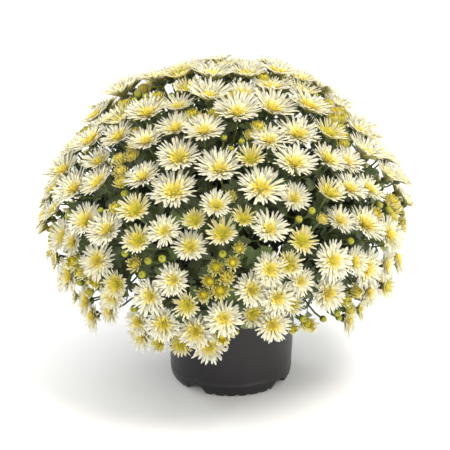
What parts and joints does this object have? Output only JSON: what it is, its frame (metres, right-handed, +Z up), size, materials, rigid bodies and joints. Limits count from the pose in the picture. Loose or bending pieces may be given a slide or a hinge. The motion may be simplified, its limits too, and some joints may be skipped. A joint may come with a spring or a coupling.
{
  "type": "pot chrysanthemum",
  "caption": "Domed garden chrysanthemum, massed with cream double blooms and yellow half-open flowers over lobed green leaves, in a round plastic nursery pot.",
  "frame": {"origin": "on the surface that the pot stands on, under the middle of the whole plant's outline; the pot's own axis stands at x = 12.2 mm, y = -4.2 mm", "axes": "+Z up, -Y towards the side that faces the viewer, +X to the viewer's right"},
  "size_m": [0.5557, 0.5563, 0.4938],
  "materials": {
    "pot": "satin moulded polypropylene, charcoal",
    "potting_mix": "damp crumbly peat and bark mix, matte",
    "bloom": "soft matte petals, cream with a pale yellow middle",
    "leafy_stem": "matte dark green leaf and stem"
  },
  "bodies": {
    "root": {"pot": "pot", "potting_mix": "potting_mix", "spray_blooms_01": "bloom", "spray_blooms_02": "bloom", "spray_blooms_03": "bloom", "spray_blooms_04": "bloom", "spray_blooms_05": "bloom", "spray_blooms_06": "bloom", "spray_blooms_07": "bloom", "spray_blooms_08": "bloom", "spray_blooms_09": "bloom", "spray_blooms_10": "bloom", "spray_blooms_11": "bloom", "spray_blooms_12": "bloom", "spray_blooms_13": "bloom", "spray_blooms_14": "bloom", "spray_blooms_15": "bloom", "spray_blooms_16": "bloom", "spray_blooms_17": "bloom", "spray_blooms_18": "bloom", "spray_blooms_19": "bloom", "spray_blooms_20": "bloom", "spray_blooms_21": "bloom", "spray_blooms_22": "bloom", "spray_blooms_23": "bloom", "spray_blooms_24": "bloom", "spray_blooms_25": "bloom", "spray_blooms_26": "bloom", "leafy_stem_01": "leafy_stem", "leafy_stem_02": "leafy_stem", "leafy_stem_03": "leafy_stem", "leafy_stem_04": "leafy_stem", "leafy_stem_05": "leafy_stem", "leafy_stem_06": "leafy_stem", "leafy_stem_07": "leafy_stem", "leafy_stem_08": "leafy_stem", "leafy_stem_09": "leafy_stem", "leafy_stem_10": "leafy_stem", "leafy_stem_11": "leafy_stem", "leafy_stem_12": "leafy_stem", "leafy_stem_13": "leafy_stem", "leafy_stem_14": "leafy_stem", "leafy_stem_15": "leafy_stem", "leafy_stem_16": "leafy_stem", "leafy_stem_17": "leafy_stem", "leafy_stem_18": "leafy_stem", "leafy_stem_19": "leafy_stem", "leafy_stem_20": "leafy_stem", "leafy_stem_21": "leafy_stem", "leafy_stem_22": "leafy_stem", "leafy_stem_23": "leafy_stem", "leafy_stem_24": "leafy_stem", "leafy_stem_25": "leafy_stem", "leafy_stem_26": "leafy_stem"}
  },
  "joints": []
}
